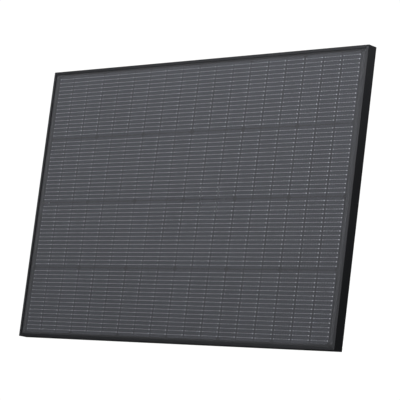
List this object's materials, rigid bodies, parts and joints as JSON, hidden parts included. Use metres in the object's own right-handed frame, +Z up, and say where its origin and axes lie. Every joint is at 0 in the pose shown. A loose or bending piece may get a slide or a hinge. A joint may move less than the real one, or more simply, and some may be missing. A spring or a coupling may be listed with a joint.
{
  "type": "solar panel",
  "caption": "Rigid framed photovoltaic panel in landscape: black frame, glass front with strip cells and silver wires, rear junction box with hinged lid and cable outlets.",
  "frame": {"origin": "centre of the mounting slots, in the plane of the rear flanges", "axes": "+X along the long side, +Z up the short side, +Y out of the back; the glass faces -Y"},
  "size_m": [1.168, 0.03, 0.762],
  "materials": {
    "frame_anodised": "black anodised, satin",
    "key_aluminium": "mill",
    "sealant": "cured silicone",
    "glass": "tempered, clear",
    "encapsulant": "clear film",
    "silicon": "dark textured silicon",
    "wire": "tinned copper",
    "busbar": "tinned copper",
    "cover_strip": "matt film",
    "rear_sheet": "matt laminate",
    "label": "satin film",
    "adhesive": "foam",
    "box_plastic": "moulded, fine spark texture",
    "gasket": "soft",
    "pin_steel": "plain",
    "contact_copper": "tinned copper",
    "screw_steel": "zinc plated",
    "diode_moulding": "moulded epoxy",
    "nut_plastic": "moulded nylon"
  },
  "bodies": {
    "panel": {"corner_keys": "key_aluminium", "frame_sealant": "sealant", "front_glass": "glass", "front_encapsulant": "encapsulant", "rear_encapsulant": "encapsulant", "busbar_covers": "cover_strip", "rear_sheet": "rear_sheet", "rating_label": "label", "box_adhesive_pad": "adhesive", "box_base": "box_plastic", "box_gasket": "gasket", "hinge_pins": "pin_steel", "positive_rail": "contact_copper", "negative_rail": "contact_copper", "lead_clips": "pin_steel", "terminal_clamps": "screw_steel", "terminal_screws": "screw_steel", "diode_bodies": "diode_moulding", "diode_leads": "busbar", "frame_top": "frame_anodised", "frame_bottom": "frame_anodised", "frame_left": "frame_anodised", "frame_right": "frame_anodised", "cell_row_1": "silicon", "cell_wires_1": "wire", "cell_row_2": "silicon", "cell_wires_2": "wire", "cell_row_3": "silicon", "cell_wires_3": "wire", "cell_row_4": "silicon", "cell_wires_4": "wire", "busbar_link_upper": "busbar", "busbar_link_lower": "busbar", "busbar_positive_upper": "busbar", "busbar_negative": "busbar", "busbar_positive_lower": "busbar", "lead_positive_upper": "busbar", "lead_negative": "busbar", "lead_positive_lower": "busbar", "outlet_seal_positive": "gasket", "outlet_seal_negative": "gasket"},
    "lid": {"box_lid": "box_plastic"},
    "ring_positive": {"slip_ring_positive": "nut_plastic"},
    "nut_positive": {"cap_nut_positive": "nut_plastic"},
    "ring_negative": {"slip_ring_negative": "nut_plastic"},
    "nut_negative": {"cap_nut_negative": "nut_plastic"}
  },
  "joints": [
    {"name": "lid_hinge", "type": "hinge", "parent": "panel", "child": "lid", "pos_m": [-0.5, -0.0074, 0.0582], "axis": [1, 0, 0], "range_deg": [0, 110]},
    {"name": "nut_travel_positive", "type": "slide", "parent": "panel", "child": "ring_positive", "axis": [0, 0, -1], "range_m": [0, 0.003]},
    {"name": "nut_turn_positive", "type": "hinge", "parent": "ring_positive", "child": "nut_positive", "pos_m": [-0.478, -0.0132, -0.065], "axis": [0, 0, -1], "range_deg": [0, 720]},
    {"name": "nut_travel_negative", "type": "slide", "parent": "panel", "child": "ring_negative", "axis": [0, 0, -1], "range_m": [0, 0.003]},
    {"name": "nut_turn_negative", "type": "hinge", "parent": "ring_negative", "child": "nut_negative", "pos_m": [-0.522, -0.0132, -0.065], "axis": [0, 0, -1], "range_deg": [0, 720]}
  ],
  "couplings": [
    {"joint": "nut_travel_positive", "follows": "nut_turn_positive", "m_per_rad": 0.00023873},
    {"joint": "nut_travel_negative", "follows": "nut_turn_negative", "m_per_rad": 0.00023873}
  ]
}
